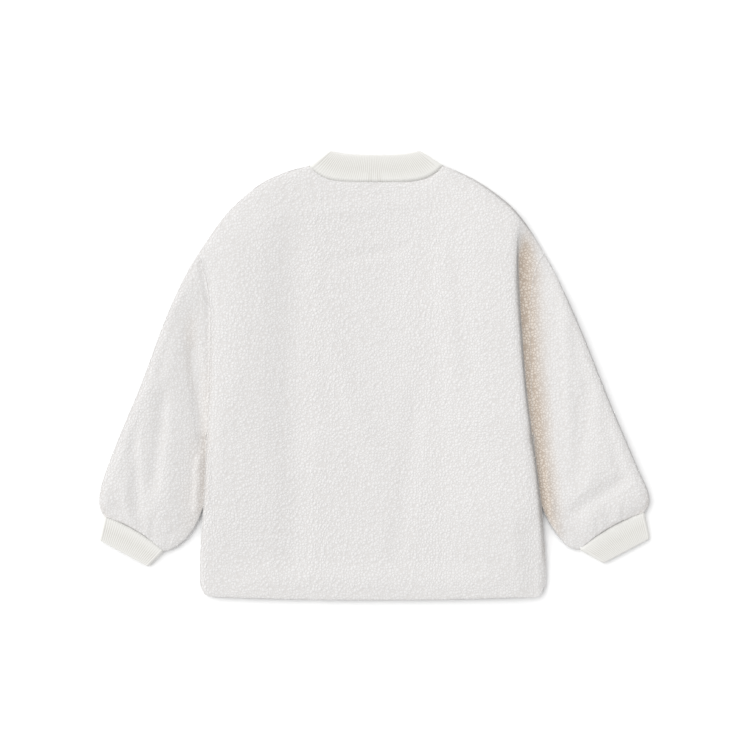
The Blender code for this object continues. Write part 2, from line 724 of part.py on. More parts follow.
def make_sleeve(side, name, material):
    shares = np.array(BODY_ROWS[ARMHOLE_FIRST_ROW:][::-1])
    y = mix(SIDE_FOOT_Y, SHOULDER_POINT_Y, shares)
    x = side.armhole.at_y(y)
    even = np.linspace(0.0, 1.0, len(side.armhole.dense))
    at_armhole = np.interp(-y, -side.armhole.dense[:, 1], even)

    def height(px, py):
        return sleeve_height(side, px, py)

    edges = (side.outer, side.inner)
    outer, inner = [], []
    for share in SLEEVE_RINGS:
        if share == 0.0:
            top = upper_wall(x, y, back_height, BODY_EDGES)
            bottom = lower_wall(x, y, BODY_EDGES)
            for sheet in (*top, *bottom):
                sheet[:, 0] += side.sign * ARMHOLE_GAP
            under = side.inner.rows[0]
            top[0][-1] = top[1][-1] = under
            top[1][-1, 0] += side.sign * SHERPA
        else:
            across = sleeve_across(side, share, at_armhole)
            plan = np.array([sleeve_plan(side, a, share) for a in across])
            top = upper_wall(*plan.T, height, edges)
            bottom = lower_wall(*plan.T, edges)
        outer.append(np.vstack((top[0], bottom[0][-2:0:-1])))
        inner.append(np.vstack((top[1], bottom[1][-2:0:-1])))
    return wall(name, outer, inner, material, closed=True)


def flat_ring(width, height, ribs):
    """A flattened rib-knit ring in its own section: distance along, outer and inner heights.

    It starts at one folded edge, crosses the upper side with its ribs and comes back below.
    Each item is (distance, outer height, inner distance, inner height).
    """
    half = height / 2
    curl = [math.radians(a) for a in RIB_EDGE_TURNS]
    edge = [
        (
            RIB_EDGE * (1 - math.cos(a)),
            half * math.sin(a),
            RIB_CLOTH + (RIB_EDGE - RIB_CLOTH) * (1 - math.cos(a)),
            (half - RIB_CLOTH) * math.sin(a),
        )
        for a in curl
    ]
    items = [(d, half + z, di, half + zi) for d, z, di, zi in edge]
    span = width - 2 * RIB_EDGE
    for k in range(2 * ribs + 1):
        along = RIB_EDGE + span * k / (2 * ribs)
        sunk = RIB_DEPTH if k % 2 else 0.0
        items.append((along, height - sunk, along, height - RIB_CLOTH))
    items += [(width - d, half + z, width - di, half + zi) for d, z, di, zi in edge[::-1]]
    items += [(width - d, half - z, width - di, half - zi) for d, z, di, zi in edge[1:]]
    for k in range(RIB_PLAIN_STEPS + 1):
        along = width - RIB_EDGE - span * k / RIB_PLAIN_STEPS
        items.append((along, 0.0, along, RIB_CLOTH))
    items += [(d, half - z, di, half - zi) for d, z, di, zi in edge[:0:-1]]
    return items


def make_cuff(side, name, material):
    """A rib cuff: a flattened tube, ribbed above, that narrows a little towards the hand."""
    ends = np.array((sleeve_end(side, 0.0), sleeve_end(side, 1.0)))
    sewn_width = float(np.hypot(*(ends[1] - ends[0]))) - 2 * CUFF_INSET
    ribs = round((sewn_width - 2 * RIB_EDGE) / RIB_PITCH)
    inset = CUFF_INSET / (sewn_width + 2 * CUFF_INSET)
    down = side.cuff.mean(0) - ends.mean(0)
    down = down / np.hypot(*down)
    outer, inner = [], []
    for share in RIB_RINGS:
        free_width = float(np.hypot(*(side.cuff[1] - side.cuff[0])))
        width = mix(sewn_width, free_width, share)
        ring = flat_ring(width, mix(CUFF_HEIGHT, CUFF_END_HEIGHT, share), ribs)
        sheets = [], []
        for out, out_z, into, into_z in ring:
            for sheet, along, z in ((sheets[0], out, out_z), (sheets[1], into, into_z)):
                across = along / width
                sewn = sleeve_end(side, mix(inset, 1.0 - inset, across)) + down * CUFF_SEAM_GAP
                free = mix(side.cuff[0], side.cuff[1], across)
                sheet.append((*mix(sewn, free, share), z))
        outer.append(sheets[0])
        inner.append(sheets[1])
    return wall(name, outer, inner, material, closed=True, last_nose=RIB_NOSE)


def collar_ring(share):
    """Outer and inner points round the collar at a share of its height, from centre front."""
    half = mix(NECK_HALF, COLLAR_TOP_HALF, share)
    middle = mix(NECK_MIDDLE, 0.0, share)
    ribs = round(2 * (NECK_HALF - RIB_EDGE) / RIB_PITCH)
    ring = flat_ring(2 * half, COLLAR_HEIGHT, ribs)
    upper = 2 * len(RIB_EDGE_TURNS) + 2 * ribs + 1

    def plan(along, lower):
        x = middle + half - along
        return x, neck_y(x, share, FRONT_NECK if lower else BACK_NECK)

    points = []
    for k, (d, z, inner_d, inner_z) in enumerate(ring):
        lower = k >= upper
        points.append(((*plan(d, lower), z), (*plan(inner_d, lower), inner_z)))
    below = range(upper, len(ring))
    before = next(k for k in below if ring[k][0] < half + COLLAR_ENDS_APART)
    after = next(k for k in below if ring[k][0] < half - COLLAR_ENDS_APART)
    end_left = half + COLLAR_ENDS_APART / 2
    end_right = half - COLLAR_ENDS_APART / 2
    left_end = ((*plan(end_left, True), 0.0), (*plan(end_left, True), RIB_CLOTH))
    right_end = ((*plan(end_right, True), 0.0), (*plan(end_right, True), RIB_CLOTH))
    return [right_end, *points[after:], *points[:before], left_end]


def make_collar(material):
    """The rib band round the neck: across the back above, down both fronts below."""
    rings = [collar_ring(share) for share in RIB_RINGS]
    outer = [[p[0] for p in ring] for ring in rings]
    inner = [[p[1] for p in ring] for ring in rings]
    return wall("collar", outer, inner, material, last_nose=RIB_NOSE)


def disc(radius, thick, sides):
    mesh = bmesh.new()
    bmesh.ops.create_cone(
        mesh, cap_ends=True, segments=sides,
        radius1=radius * METRES, radius2=radius * METRES, depth=thick * METRES,
    )  # fmt: skip
    return mesh


def make_studs(front, material):
    """Press stud caps down the lap, each sunk in the right front's pile."""
    for k in range(STUDS):
        y = mix(STUD_FIRST_Y, STUD_LAST_Y, k / (STUDS - 1))
        seat = add_object(
            f"stud_seat_{k + 1}",
            disc(STUD_RADIUS + SEAM_GAP, 2 * (STUD_SUNK + STUD_THICK + SEAM_GAP), STUD_SIDES),
            material,
        )
        seat.location = (0.0, y * METRES, 0.0)
        seat.hide_render = True
        seat.display_type = "WIRE"
        cut = front.modifiers.new(f"seat {k + 1}", "BOOLEAN")
        cut.operation = "DIFFERENCE"
        cut.object = seat
        stud = add_object(f"stud_{k + 1}", disc(STUD_RADIUS, STUD_THICK, STUD_SIDES), material)
        stud.location = (0.0, y * METRES, (STUD_SUNK + STUD_THICK / 2) * METRES)


def main():
    for thing in list(bpy.data.objects):
        bpy.data.objects.remove(thing)
    sherpa, rib, stud = (make_material(name) for name in ("sherpa", "rib", "stud"))
    make_back(sherpa)
    front = make_fronts(sherpa)
    make_sleeve(LEFT, "sleeve_left", sherpa)
    make_sleeve(RIGHT, "sleeve_right", sherpa)
    make_cuff(LEFT, "cuff_left", rib)
    make_cuff(RIGHT, "cuff_right", rib)
    make_collar(rib)
    make_studs(front, stud)


main()
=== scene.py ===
import math

import bmesh
import bpy
import numpy as np
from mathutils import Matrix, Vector
from mathutils.bvhtree import BVHTree


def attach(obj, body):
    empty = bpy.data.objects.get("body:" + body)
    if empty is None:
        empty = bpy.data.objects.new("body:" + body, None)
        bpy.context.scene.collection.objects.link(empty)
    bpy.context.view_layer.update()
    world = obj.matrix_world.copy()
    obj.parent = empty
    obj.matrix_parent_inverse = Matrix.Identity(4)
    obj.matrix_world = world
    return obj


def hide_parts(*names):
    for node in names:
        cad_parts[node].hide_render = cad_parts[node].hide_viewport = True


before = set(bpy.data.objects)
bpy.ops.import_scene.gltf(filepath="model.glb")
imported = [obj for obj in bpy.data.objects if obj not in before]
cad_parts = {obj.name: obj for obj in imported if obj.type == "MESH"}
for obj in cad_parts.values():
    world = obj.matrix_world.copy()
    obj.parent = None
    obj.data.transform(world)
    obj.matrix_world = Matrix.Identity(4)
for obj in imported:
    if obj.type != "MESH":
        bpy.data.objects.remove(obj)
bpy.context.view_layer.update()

MM = 0.001

# Back
# One panel of sherpa, folded round to both sides and the hem. Sherpa is a knit ground with a
# polyester pile that is tumbled until it stands in curls; the gaps between them get painted shade.
# It is sewn to the fronts, the sleeves and the collar from inside, so no stitches show.
CURL = 4.2 * MM
CURL_DRIFT = 3.0 * MM
CURL_SHOULDER = 0.32
LOWEST_CURL = 0.8
PILE_LEVEL = 0.9
PILE = 0.55 * MM
PRESSED_PILE = 0.45 * MM
PILE_SLOPE = 0.2
PILE_STEEP = (0.05, 0.25)
# Painted light: steep places near the rims are made this much lighter in colour.
RIM_LIGHT_GAIN = 1.12
FIBRE = 0.9 * MM
SHERPA_PATCH = 60 * MM
SHERPA_BUMP = 0.8 * MM
SHERPA_SHADE = 0.965
SHERPA_CROWN = (0.692, 0.684, 0.68)
# Painted shade: the colour of the gaps between curls, darker than the crowns.
SHERPA_GAP_SHADE = (0.61, 0.594, 0.582)
# Painted shade, darker and warmer, for the crowns and gaps of cloth lying in a nook beside higher cloth.
NOOK_SHADE_CROWN = (0.675, 0.6, 0.525)
NOOK_SHADE_GAP = (0.47, 0.39, 0.32)
SHERPA_MESH = 3.7 * MM
UNDERSIDE_MESH = 6 * MM
SEAM_REACH = 2.2 * MM
SEAM_SHARE = 0.62
SEAM_ANGLE = 60
SEWN = 0.99
WELD = 0.002 * MM
FLAT_ANGLE = 40
SHAPE_ANGLE = 50
RIB_REACH = 3 * MM
NOT_REFINED = 1.0
MOST_CUTS = 6
LIFT_OFF = 0.2 * MM

# The creases of a panel, in mm, one row each: both ends, its rise, its half width and how far it
# fades out past its ends. A trough has a rise below zero.
CREASE_COLUMNS = ("x0", "y0", "x1", "y1", "rise", "half_width", "fade")
BACK_CREASES = (
    (-124, 170, -128, -60, -2.2, 44, 110),
    (-118, -120, -122, -250, -1.3, 38, 80),
    (104, 150, 118, 10, 1.0, 24, 80),
    (30, 190, -40, 176, -0.7, 14, 40),
    (-60, 40, -10, -110, 0.7, 30, 90),
    (60, -60, 40, -230, -0.9, 26, 80),
    (-150, 236, 60, 262, 0.5, 20, 60),
    (234, -236, 242, -330, -2.2, 30, 40),
    (-160, -306, 160, -310, 1.4, 34, 60),
    (-252, 150, -240, 100, -0.8, 9, 30),
    (-250, -104, -252, -190, 1.6, 8, 14),
)


class Wire:
    """The output of a node, so that sums on it can be written as Python expressions."""

    def __init__(self, tree, socket=None):
        self.tree = tree
        self.socket = socket

    def node(self, kind, inputs, output=0, **settings):
        """Adds a node, sets its settings and then its inputs, and gives one of its outputs."""
        made = self.tree.nodes.new(kind)
        for setting, value in settings.items():
            setattr(made, setting, value)
        for name, value in inputs.items():
            if isinstance(value, Wire):
                self.tree.links.new(value.socket, made.inputs[name])
            else:
                made.inputs[name].default_value = value
        return Wire(self.tree, made.outputs[output]) if made.outputs else made

    def maths(self, operation, *values):
        return self.node("ShaderNodeMath", dict(enumerate(values)), operation=operation)

    def vector(self, operation, *values):
        return self.node("ShaderNodeVectorMath", dict(enumerate(values)), operation=operation)

    def scaled(self, factor):
        return self.node("ShaderNodeVectorMath", {0: self, "Scale": factor}, operation="SCALE")

    def __add__(self, other):
        return self.maths("ADD", self, other)

    __radd__ = __add__

    def __sub__(self, other):
        return self.maths("SUBTRACT", self, other)

    def __rsub__(self, other):
        return self.maths("SUBTRACT", other, self)

    def __mul__(self, other):
        return self.maths("MULTIPLY", self, other)

    __rmul__ = __mul__

    def ramp(self, low, high, at_low=0.0, at_high=1.0):
        """Goes smoothly from at_low to at_high as the value goes from low to high."""
        inputs = {"Value": self, "From Min": low, "From Max": high, "To Min": at_low, "To Max": at_high}
        return self.node("ShaderNodeMapRange", inputs, interpolation_type="SMOOTHSTEP")

    def blend(self, first, second):
        """A colour that goes from the first to the second as the value goes from 0 to 1."""
        colours = {6: rgba(first), 7: rgba(second)}
        return self.node("ShaderNodeMix", {0: self, **colours}, output=2, data_type="RGBA")

    def noise(self, size, detail=2.0):
        """Noise with lumps of about this size, from the vector that the wire carries."""
        return self.node("ShaderNodeTexNoise", {"Vector": self, "Scale": 1 / size, "Detail": detail})


def rgba(colour):
    return colour if isinstance(colour, Wire) or len(colour) == 4 else (*colour, 1.0)


def curls(place):
    """How high the pile stands, from 0 in the gaps to 1 on a crown, and each curl's own number."""
    wander = {"Vector": place, "Scale": 0.5 / CURL, "Detail": 1.0}
    drift = place.node("ShaderNodeTexNoise", wander, output=1)
    drift = drift.vector("SUBTRACT", drift, (0.5, 0.5, 0.5)).scaled(CURL_DRIFT)
    drifted = place.vector("ADD", place, drift)
    cells = {"Vector": drifted, "Scale": 1 / CURL, "Randomness": 0.9}
    edge = place.node("ShaderNodeTexVoronoi", cells, feature="DISTANCE_TO_EDGE")
    own = place.node("ShaderNodeTexVoronoi", cells, output="Color", feature="F1")
    own = own.node("ShaderNodeSeparateXYZ", {0: own})
    return edge.ramp(0.0, CURL_SHOULDER) * (LOWEST_CURL + (1 - LOWEST_CURL) * own), own


def curl_modifier():
    """Geometry nodes that press the gaps between curls into a panel, as deep as its pile attribute."""
    group = bpy.data.node_groups.new("curls", "GeometryNodeTree")
    group.interface.new_socket("Panel", in_out="INPUT", socket_type="NodeSocketGeometry")
    group.interface.new_socket("Panel", in_out="OUTPUT", socket_type="NodeSocketGeometry")
    start = Wire(group)
    panel = start.node("NodeGroupInput", {})
    place = start.node("GeometryNodeInputPosition", {})
    normal = start.node("GeometryNodeInputNormal", {})
    pile = start.node("GeometryNodeInputNamedAttribute", {"Name": "pile"}, data_type="FLOAT")
    height, _ = curls(place)
    kept = {"Geometry": panel, "Name": "rest", "Value": place}
    kept = start.node("GeometryNodeStoreNamedAttribute", kept, data_type="FLOAT_VECTOR", domain="POINT")
    moved = {"Geometry": kept, "Offset": normal.scaled(pile * (height - PILE_LEVEL))}
    moved = start.node("GeometryNodeSetPosition", moved)
    start.node("NodeGroupOutput", {0: moved})
    return group


def new_material(name, roughness, sheen):
    """A material with its shader, whose constant values are set on the shader's own sockets."""
    material = bpy.data.materials.new(name)
    material.use_nodes = True
    shader = material.node_tree.nodes["Principled BSDF"]
    shader.inputs["Roughness"].default_value = roughness
    shader.inputs["Sheen Weight"].default_value = sheen
    shader.inputs["Sheen Roughness"].default_value = 0.6
    shader.inputs["Specular IOR Level"].default_value = 0.25
    return material, shader


def sherpa_material():
    material, shader = new_material("sherpa pile", 0.95, 0.15)
    start = Wire(material.node_tree)
    rest = start.node("ShaderNodeAttribute", {}, output="Vector", attribute_name="rest")
    nook_shade = start.node("ShaderNodeAttribute", {}, output="Fac", attribute_name="nook_shade")
    height, own = curls(rest)
    fibre = rest.noise(FIBRE, 3.0)
    patch = rest.noise(SHERPA_PATCH)
    shaded = tuple(SHERPA_SHADE * c for c in SHERPA_CROWN)
    crown = (own * 0.6 + patch * 0.4).blend(SHERPA_CROWN, shaded)
    # The gaps between curls get painted shade, from the gap colour up to the crown colour.
    pile = height.ramp(0.0, 0.45).blend(SHERPA_GAP_SHADE, crown)
    square = start.node("ShaderNodeNewGeometry", {}, output="Normal")
    lean = start.node("ShaderNodeAttribute", {}, output="Vector", attribute_name="lean")
    upright = start.vector("NORMALIZE", start.vector("ADD", square, lean))
    steep = start.node("ShaderNodeVectorMath", {0: lean}, output="Value", operation="LENGTH")
    # Steep places, at the rims, get painted light: their colour is made lighter.
    rim_light = steep.ramp(0.15, 0.7)
    pile = rim_light.blend(pile, pile.scaled(RIM_LIGHT_GAIN))
    # Cloth lying in a nook beside higher cloth gets painted shade, darker and warmer.
    colour = nook_shade.blend(pile, height.ramp(0.0, 0.6).blend(NOOK_SHADE_GAP, NOOK_SHADE_CROWN))
    relief = height + fibre * 0.35
    bump = {"Height": relief, "Strength": 0.4, "Distance": SHERPA_BUMP, "Normal": upright}
    bump = start.node("ShaderNodeBump", bump)
    material.node_tree.links.new(colour.socket, shader.inputs["Base Color"])
    material.node_tree.links.new(bump.socket, shader.inputs["Normal"])
    return material


def points_of(mesh):
    """A mesh's points as an array, in mm."""
    places = np.empty(len(mesh.vertices) * 3)
    mesh.vertices.foreach_get("co", places)
    return places.reshape(-1, 3) / MM


def put_points(mesh, places):
    mesh.vertices.foreach_set("co", (places * MM).ravel())
    mesh.update()


def smoothed(mesh, levels):
    """The mesh that Blender's subdivision surface makes of this one."""
    thing = bpy.data.objects.new("smoothed", mesh)
    bpy.context.collection.objects.link(thing)
    modifier = thing.modifiers.new("smooth", "SUBSURF")
    modifier.levels = modifier.render_levels = levels
    evaluated = thing.evaluated_get(bpy.context.evaluated_depsgraph_get())
    result = bpy.data.meshes.new_from_object(evaluated)
    bpy.data.objects.remove(thing)
    return result


def tree_of(mesh):
    return BVHTree.FromPolygons([v.co for v in mesh.vertices], [p.vertices for p in mesh.polygons])


def beside(place, trees, node):
    """The nearest place on another piece, if one is close enough to be sewn here."""
    others = [tree for other, tree in trees.items() if other != node]
    found = [tree.find_nearest(place, SEAM_REACH)[0] for tree in others]
    return min((f for f in found if f), key=lambda f: (f - place).length, default=None)


def sewn_piece(node, levels):
    """A smooth copy of a piece of the frame, closed, with its sewn edges kept sharp and marked."""
    paired = bmesh.new()
    paired.from_mesh(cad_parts[node].data)
    bmesh.ops.remove_doubles(paired, verts=paired.verts, dist=WELD)
    bmesh.ops.join_triangles(
        paired,
        faces=paired.faces,
        angle_face_threshold=math.radians(FLAT_ANGLE),
        angle_shape_threshold=math.radians(SHAPE_ANGLE),
    )
    crease = paired.edges.layers.float.new("crease_edge")
    seam = paired.verts.layers.float.new("seam")
    groove = paired.verts.layers.float.new("groove")
    for edge in paired.edges:
        if edge.calc_face_angle() > math.radians(SEAM_ANGLE):
            if all(beside(vert.co, solids, node) for vert in edge.verts):
                edge[crease] = 1.0
                edge.verts[0][seam] = edge.verts[1][seam] = 1.0
    for vert in paired.verts:
        short = [e for e in vert.link_edges if e.calc_length() < RIB_REACH]
        rises = [(e.other_vert(vert).co - vert.co).dot(vert.normal) for e in short]
        vert[groove] = sum(rises) / max(len(rises), 1) / MM
    mesh = bpy.data.meshes.new(node)
    paired.to_mesh(mesh)
    paired.free()
    return smoothed(mesh, levels)


def sewn_together(pieces):
    """Moves each piece's sewn edges past halfway to the piece beside them, so that seams close."""
    trees = {node: tree_of(mesh) for node, mesh in pieces.items()}
    for node, mesh in pieces.items():
        for vert, mark in zip(mesh.vertices, mesh.attributes["seam"].data):
            near = beside(vert.co, trees, node) if mark.value > SEWN else None
            if near:
                vert.co = vert.co.lerp(near, SEAM_SHARE)


# Below the underarm the sleeves lie against the body, over this stretch of y in mm. What is nearer
# than the first reach touches the body, and what is past the second one stays where it is.
TOUCH_Y = (-214, -200, -104, -90)
TOUCH_REACH = (1.6, 5.0)


def pressed_together(pieces):
    """Brings the inner edge of each sleeve up against the body, pile to pile."""
    body = [tree_of(pieces[node]) for node in ("back", "front_left", "front_right")]
    for node in ("sleeve_left", "sleeve_right"):
        for vert in pieces[node].vertices:
            along = np.interp(vert.co.y / MM, TOUCH_Y, (0, 1, 1, 0))
            if not along:
                continue
            found = [tree.find_nearest(vert.co, TOUCH_REACH[1] * MM) for tree in body]
            found = [(far, place) for place, _, _, far in found if place]
            if found:
                far, place = min(found, key=lambda item: item[0])
                vert.co = vert.co.lerp(place, along * np.interp(far / MM, TOUCH_REACH, (1, 0)))


SHERPA_NODES = ("back", "front_left", "front_right", "sleeve_left", "sleeve_right")
RIB_NODES = ("cuff_left", "cuff_right", "collar")
solids = {node: tree_of(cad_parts[node].data) for node in SHERPA_NODES + RIB_NODES}
cloth = {node: sewn_piece(node, 1) for node in SHERPA_NODES}
cloth.update({node: sewn_piece(node, 2) for node in RIB_NODES})
sewn_together(cloth)
pressed_together(cloth)


def all_cloth():
    """A tree of every cloth piece's faces, to tell what lies open to the outside."""
    corners = []
    faces = []
    for mesh in cloth.values():
        first = len(corners)
        corners += [v.co.copy() for v in mesh.vertices]
        faces += [[first + i for i in p.vertices] for p in mesh.polygons]
    return BVHTree.FromPolygons(corners, faces)


outside = all_cloth()
UP = Vector((0, 0, 1))

# How deep the cloth lies beside higher cloth, in mm, on a grid of squares. Higher cloth counts less
# the further off it is, and not at all at NOOK_END. What the cloth falls away on its other side
# counts against it NOOK_OPEN times over, as at the edge of the jacket.
# The sherpa gets painted shade, darker and warmer, the deeper its cloth lies on this grid.
NOOK_STEP = 4
NOOK_HALF = (424, 348)
NOOK_REACHES = (8, 12, 16, 20, 24, 28, 32, 36, 40, 44, 48)
NOOK_END = 54
NOOK_TURNS = 6
NOOK_OPEN = 2
NOOK_SHALLOW = 1.8
NOOK_DEEP = 8.6


def top_of_cloth(x, y):
    hit = outside.ray_cast(Vector((x * MM, y * MM, 1)), -UP)[0]
    return hit.z / MM if hit else 0.0


def nook_grid():
    columns = np.arange(-NOOK_HALF[0], NOOK_HALF[0] + 1, NOOK_STEP)
    rows = np.arange(-NOOK_HALF[1], NOOK_HALF[1] + 1, NOOK_STEP)
    tops = np.array([[top_of_cloth(x, y) for x in columns] for y in rows])
    depth = np.zeros_like(tops)
    for turn in np.linspace(0, math.pi, NOOK_TURNS, endpoint=False):
        sides = []
        for way in (turn, turn + math.pi):
            rises = []
            for reach in NOOK_REACHES:
                squares = reach / NOOK_STEP
                step = (round(squares * math.sin(way)), round(squares * math.cos(way)))
                rises.append((np.roll(tops, step, (0, 1)) - tops) * (1 - reach / NOOK_END))
            sides.append(np.max(rises, axis=0))
        falls = np.clip(-np.minimum(*sides), 0, None)
        depth = np.maximum(depth, np.maximum(*sides) - NOOK_OPEN * falls)
    depth = np.where(tops > 0, depth, 0)
    for axis in (0, 1):
        depth = (np.roll(depth, 1, axis) + 2 * depth + np.roll(depth, -1, axis)) / 4
    return np.clip((depth - NOOK_SHALLOW) / (NOOK_DEEP - NOOK_SHALLOW), 0, 1)


nooks = nook_grid()


def nook_at(places):
    """The grid's value at each place, mixed from its four nearest squares."""
    column = (places[:, 0] + NOOK_HALF[0]) / NOOK_STEP
    row = (places[:, 1] + NOOK_HALF[1]) / NOOK_STEP
    i, j = np.floor(column).astype(int), np.floor(row).astype(int)
    s, t = column - i, row - j
    low = nooks[j, i] * (1 - s) + nooks[j, i + 1] * s
    high = nooks[j + 1, i] * (1 - s) + nooks[j + 1, i + 1] * s
    return low * (1 - t) + high * t


def seen_from(place, direction):
    return outside.ray_cast(place, direction)[0] is None


def refined(mesh):
    """Divides a panel's outer faces until they are small enough for the curls, finer on top."""
    fine = bmesh.new()
    fine.from_mesh(mesh)
    size = fine.faces.layers.float.new("size")
    for face in fine.faces:
        start = face.calc_center_median() + face.normal * LIFT_OFF
        if seen_from(start, UP):
            face[size] = SHERPA_MESH
        elif seen_from(start, -UP):
            face[size] = UNDERSIDE_MESH
        else:
            face[size] = NOT_REFINED
    seam = fine.verts.layers.float["seam"]
    for edge in fine.edges:
        sewn = min(vert[seam] for vert in edge.verts) > SEWN
        edge.smooth = not (sewn and edge.calc_face_angle() > math.radians(SEAM_ANGLE))
    bmesh.ops.triangulate(fine, faces=fine.faces, quad_method="SHORT_EDGE")
    for _ in range(MOST_CUTS):
        long = [e for e in fine.edges if e.calc_length() > min(f[size] for f in e.link_faces)]
        if not long:
            break
        bmesh.ops.subdivide_edges(fine, edges=long, cuts=1, use_single_edge=True)
        wide = [f for f in fine.faces if len(f.verts) > 3]
        bmesh.ops.triangulate(fine, faces=wide, quad_method="SHORT_EDGE")
    pile = fine.verts.layers.float.new("pile")
    for vert in fine.verts:
        sizes = [f[size] for f in vert.link_faces]
        if max(sizes) <= UNDERSIDE_MESH:
            vert[pile] = PILE if max(sizes) == np.float32(SHERPA_MESH) else PRESSED_PILE
    fine.to_mesh(mesh)
    fine.free()


def creased(mesh, creases, side):
    """Adds soft troughs and ridges to the upper side of a mesh, or with a side of -1 to its under side."""
    places = points_of(mesh)
    normals = np.empty(len(mesh.vertices) * 3)
    mesh.vertices.foreach_get("normal", normals)
    facing = np.clip(side * normals[2::3], 0, 1)
    rise = np.zeros(len(places))
    for row in creases:
        crease = dict(zip(CREASE_COLUMNS, row))
        start = np.array((crease["x0"], crease["y0"]))
        along = np.array((crease["x1"], crease["y1"])) - start
        length = np.linalg.norm(along)
        along = along / length
        offset = places[:, :2] - start
        run = offset @ along
        past = np.clip(np.maximum(-run, run - length), 0, None) / crease["fade"]
        across = np.abs(offset @ np.array((-along[1], along[0]))) / crease["half_width"]
        profile = 0.5 + 0.5 * np.cos(math.pi * np.clip(across, 0, 1))
        rise += crease["rise"] * profile * (0.5 + 0.5 * np.cos(math.pi * np.clip(past, 0, 1)))
    places[:, 2] += rise * facing
    put_points(mesh, places)
    return facing


def leaning(mesh):
    """How far curls lean from the square of the cloth: on a slope they stand nearly upright."""
    square = np.empty(len(mesh.vertices) * 3)
    mesh.vertices.foreach_get("normal", square)
    square = square.reshape(-1, 3)
    level = np.maximum(np.hypot(square[:, 0], square[:, 1]), 1e-6)
    slope = level / np.maximum(np.abs(square[:, 2]), 1e-6)
    held = PILE_SLOPE * slope / np.hypot(PILE_SLOPE, slope)
    upright = np.column_stack((square[:, :2] * (held / level)[:, None], np.sign(square[:, 2])))
    upright /= np.linalg.norm(upright, axis=1)[:, None]
    return (upright - square) * np.interp(np.abs(square[:, 2]), PILE_STEEP, (0, 1))[:, None]


def curled(mesh):
    """The mesh with its curls pressed in, and its undisturbed places kept as the rest attribute."""
    thing = bpy.data.objects.new("curled", mesh)
    bpy.context.collection.objects.link(thing)
    thing.modifiers.new("curls", "NODES").node_group = curl_nodes
    evaluated = thing.evaluated_get(bpy.context.evaluated_depsgraph_get())
    result = bpy.data.meshes.new_from_object(evaluated)
    bpy.data.objects.remove(thing)
    return result


def finished(name, mesh, material, node):
    """Puts a finished piece in the scene, in the place of the frame's solid."""
    mesh.shade_smooth()
    mesh.materials.clear()
    mesh.materials.append(material)
    piece = bpy.data.objects.new(name, mesh)
    bpy.context.collection.objects.link(piece)
    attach(piece, "root")
    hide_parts(node)
    return piece


def set_attribute(mesh, name, values):
    made = mesh.attributes.new(name, "FLOAT", "POINT")
    made.data.foreach_set("value", np.asarray(values, np.float32))


def sherpa_panel(name, node, above, below):
    """A finished panel, with creases above in its upper side and below in its under side."""
    mesh = cloth[node]
    refined(mesh)
    creased(mesh, below, -1)
    upward = creased(mesh, above, 1)
    # How much painted shade each place on the upper side gets from lying beside higher cloth.
    set_attribute(mesh, "nook_shade", nook_at(points_of(mesh)) * upward)
    lean = mesh.attributes.new("lean", "FLOAT_VECTOR", "POINT")
    lean.data.foreach_set("vector", leaning(mesh).astype(np.float32).ravel())
    return finished(name, curled(mesh), sherpa, node)


curl_nodes = curl_modifier()
sherpa = sherpa_material()
back = sherpa_panel("back_panel", "back", BACK_CREASES, ())

# Fronts
# Two panels of the same sherpa, lying underneath. The right one laps over the left by 12 mm on
# each side of the middle, and its studs fasten through the lap.
LEFT_FRONT_CREASES = (
    (-150, 190, -170, -40, 1.2, 20, 80),
    (-90, 60, -70, -210, 0.9, 26, 90),
    (-205, -90, -196, -260, 1.0, 18, 50),
    (-60, 205, -120, 150, 0.7, 14, 40),
)
RIGHT_FRONT_CREASES = (
    (150, 150, 176, -60, 1.3, 22, 80),
    (80, 90, 96, -170, 0.8, 24, 90),
    (200, -130, 186, -280, 1.1, 17, 50),
    (70, 210, 140, 172, 0.8, 15, 40),
)
left_front = sherpa_panel("left_front", "front_left", (), LEFT_FRONT_CREASES)
right_front = sherpa_panel("right_front", "front_right", (), RIGHT_FRONT_CREASES)

# Sleeves
# Each is one piece of sherpa, closed by a seam under the arm, set into the dropped armhole and
# gathered into its cuff, so it creases lengthways from the underarm and puckers at the cuff.
LEFT_SLEEVE_CREASES = (
    (-318, -44, -330, -150, -1.9, 15, 40),
    (-296, 96, -318, 20, -1.0, 15, 40),
    (-352, -60, -372, -132, -0.9, 13, 36),
    (-360, -104, -358, -196, -1.7, 13, 26),
    (-262, 180, -249, 110, -2.2, 8, 20),
    (-248, 104, -247, 20, -0.9, 8, 30),
    (-272, 32, -259, -96, -3.4, 15, 26),
    (-264, -130, -268, -200, 2.4, 10, 12),
    (-397, -204, -390, -226, -0.6, 9, 14),
    (-374, -212, -366, -234, -0.9, 7, 22),
    (-351, -224, -350, -242, -0.4, 10, 12),
    (-333, -226, -336, -254, -0.9, 8, 26),
    (-306, -238, -314, -258, -0.6, 8, 12),
)
RIGHT_SLEEVE_CREASES = (
    (320, -24, 305, -150, -1.0, 20, 40),
    (286, 70, 290, -60, 1.2, 16, 50),
    (300, 60, 318, -10, -0.9, 14, 40),
    (348, -70, 366, -130, -1.3, 15, 40),
    (312, -196, 366, -160, -1.9, 17, 34),
    (252, 184, 234, 164, -1.6, 7, 8),
    (262, -196, 274, -236, 3.0, 16, 14),
    (256, -150, 262, -196, 3.4, 13, 26),
    (396, -196, 389, -214, -0.5, 9, 14),
    (374, -206, 372, -226, -0.8, 7, 20),
    (350, -214, 354, -238, -0.5, 9, 14),
    (334, -222, 339, -246, -0.9, 7, 22),
    (302, -234, 312, -256, -0.6, 9, 12),
)
